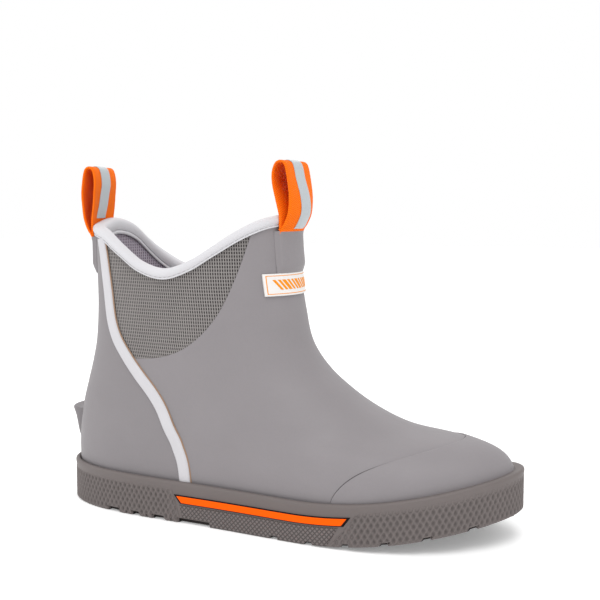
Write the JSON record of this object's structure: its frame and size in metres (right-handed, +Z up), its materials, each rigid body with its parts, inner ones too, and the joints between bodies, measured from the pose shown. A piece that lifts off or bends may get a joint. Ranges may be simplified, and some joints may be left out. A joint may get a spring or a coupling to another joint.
{
  "type": "deck boot",
  "caption": "Ankle-high waterproof rubber deck boot for the right foot, with stretch gores, a bound collar, a cupped sole and webbing pull loops.",
  "frame": {"origin": "centre of the boot's box, on the ground", "axes": "+X points to the toe, +Y to the inner side of the foot, +Z up"},
  "size_m": [0.3034, 0.1101, 0.2233],
  "materials": {
    "upper_rubber": "matt moulded rubber, light satin sheen",
    "sole_rubber": "matt rubber with a fine cross-hatched texture",
    "bumper_rubber": "matt rubber with a coarse diamond texture",
    "orange_stripe": "satin rubber",
    "black_stripe": "matt rubber",
    "midsole_foam": "closed-cell foam",
    "shank_steel": "plain spring steel",
    "insole_fibreboard": "pressed fibre board",
    "footbed_foam": "moulded foam",
    "footbed_cloth": "knitted cover",
    "lining_knit": "grey-violet knitted mesh",
    "stiffener": "thermoplastic sheet",
    "gore_mesh": "ribbed stretch mesh",
    "white_trim": "smooth white coated knit",
    "orange_webbing": "woven orange webbing",
    "reflective_tape": "retro-reflective tape",
    "label_rubber": "moulded white patch with orange lines"
  },
  "bodies": {
    "boot": {"outsole": "sole_rubber", "sidewall": "sole_rubber", "toe_bumper": "bumper_rubber", "heel_bumper": "bumper_rubber", "outer_side_panel": "sole_rubber", "inner_side_panel": "sole_rubber", "outer_stripe_bed": "black_stripe", "inner_stripe_bed": "black_stripe", "outer_stripe": "orange_stripe", "inner_stripe": "orange_stripe", "midsole": "midsole_foam", "shank": "shank_steel", "insole_board": "insole_fibreboard", "footbed": "footbed_foam", "footbed_cover": "footbed_cloth", "lining": "lining_knit", "toe_puff": "stiffener", "heel_counter": "stiffener", "vamp": "upper_rubber", "heel_quarter": "upper_rubber", "toe_cap": "upper_rubber", "outer_gore": "gore_mesh", "inner_gore": "gore_mesh", "outer_piping": "white_trim", "inner_piping": "white_trim", "collar_binding": "white_trim", "heel_kick": "upper_rubber", "front_loop_tail": "orange_webbing", "front_tail_cover": "upper_rubber", "label": "label_rubber", "rear_loop_tail": "orange_webbing", "rear_tail_cover": "upper_rubber"},
    "front_tab": {"front_pull_loop": "orange_webbing", "front_loop_tape": "reflective_tape"},
    "rear_tab": {"rear_pull_loop": "orange_webbing", "rear_loop_tape": "reflective_tape"}
  },
  "joints": [
    {"name": "front_loop_fold", "type": "hinge", "parent": "boot", "child": "front_tab", "pos_m": [0.0117, -0.0028, 0.1805], "axis": [0, 1, 0], "range_deg": [0, 75], "stiffness_Nm_per_rad": 0.01, "springref_deg": -5.73},
    {"name": "rear_loop_fold", "type": "hinge", "parent": "boot", "child": "rear_tab", "pos_m": [-0.1269, -0.0135, 0.176], "axis": [0.1739, -0.9848, 0], "range_deg": [0, 75], "stiffness_Nm_per_rad": 0.01, "springref_deg": -5.73}
  ]
}
